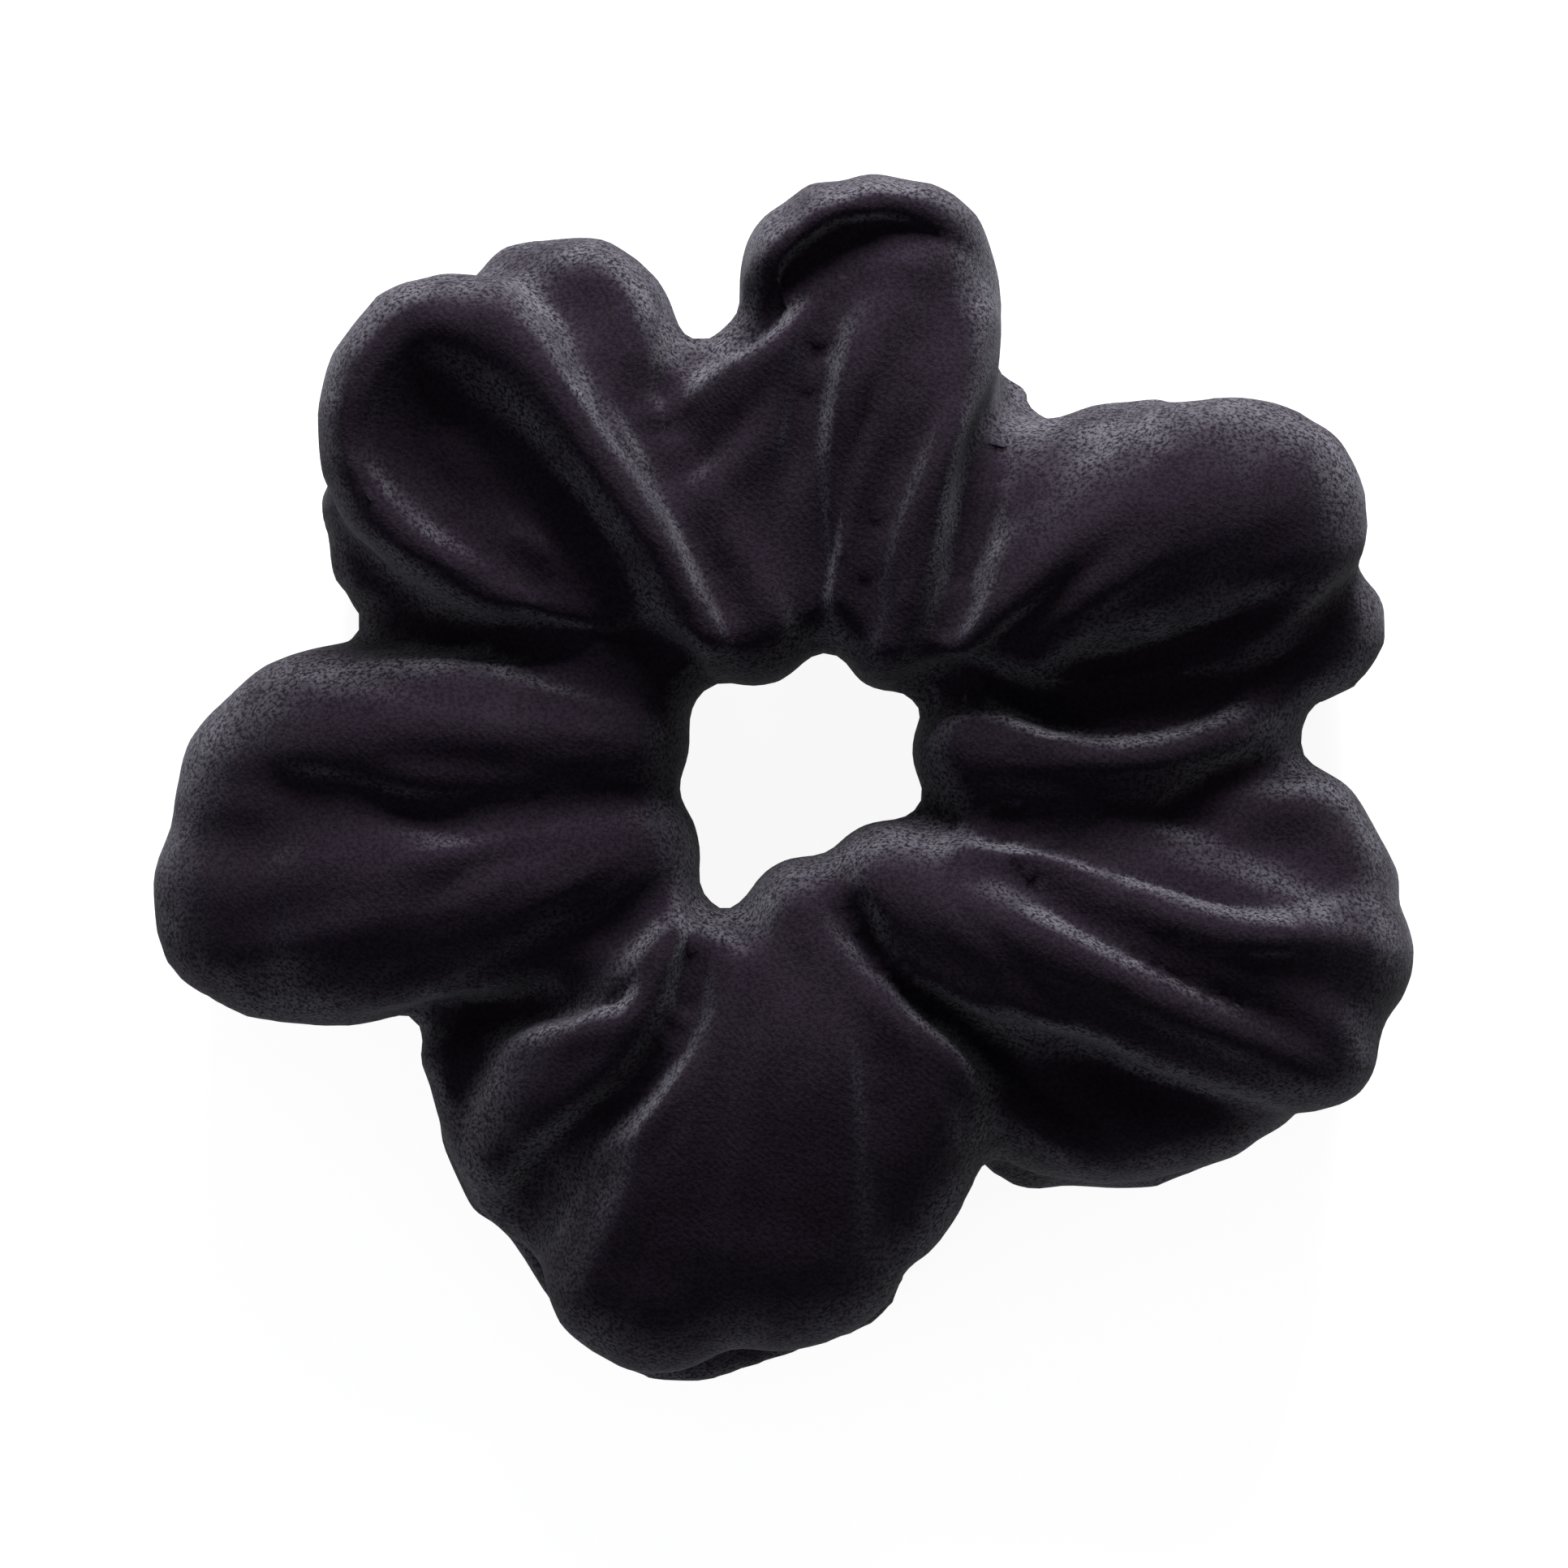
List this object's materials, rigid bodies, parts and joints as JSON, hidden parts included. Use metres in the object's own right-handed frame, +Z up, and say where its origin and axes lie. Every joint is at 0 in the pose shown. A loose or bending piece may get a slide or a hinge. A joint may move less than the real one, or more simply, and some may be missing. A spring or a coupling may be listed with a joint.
{
  "type": "scrunchie",
  "caption": "Gathered black velvet hair scrunchie: a ruffled fabric tube round a sewn elastic loop that stretches open.",
  "frame": {"origin": "centre of the hair opening, on the surface that the scrunchie lies on", "axes": "+Z up, out of the hair opening; +X along the stretch, towards the half that moves"},
  "size_m": [0.1195, 0.116, 0.036],
  "materials": {
    "velvet": "black velvet with a cool grey sheen",
    "elastic": "matt braided elastic",
    "thread": "spun polyester thread"
  },
  "bodies": {
    "left_half": {"velvet_tube_left": "velvet", "elastic_loop_left": "elastic", "long_seam_thread_left": "thread", "closing_seam_thread": "thread", "elastic_lap_stitches": "thread"},
    "right_half": {"velvet_tube_right": "velvet", "elastic_loop_right": "elastic", "long_seam_thread_right": "thread"}
  },
  "joints": [
    {"name": "elastic_stretch", "type": "slide", "parent": "left_half", "child": "right_half", "axis": [1, 0, 0], "range_m": [0, 0.06], "stiffness_N_per_m": 95}
  ]
}
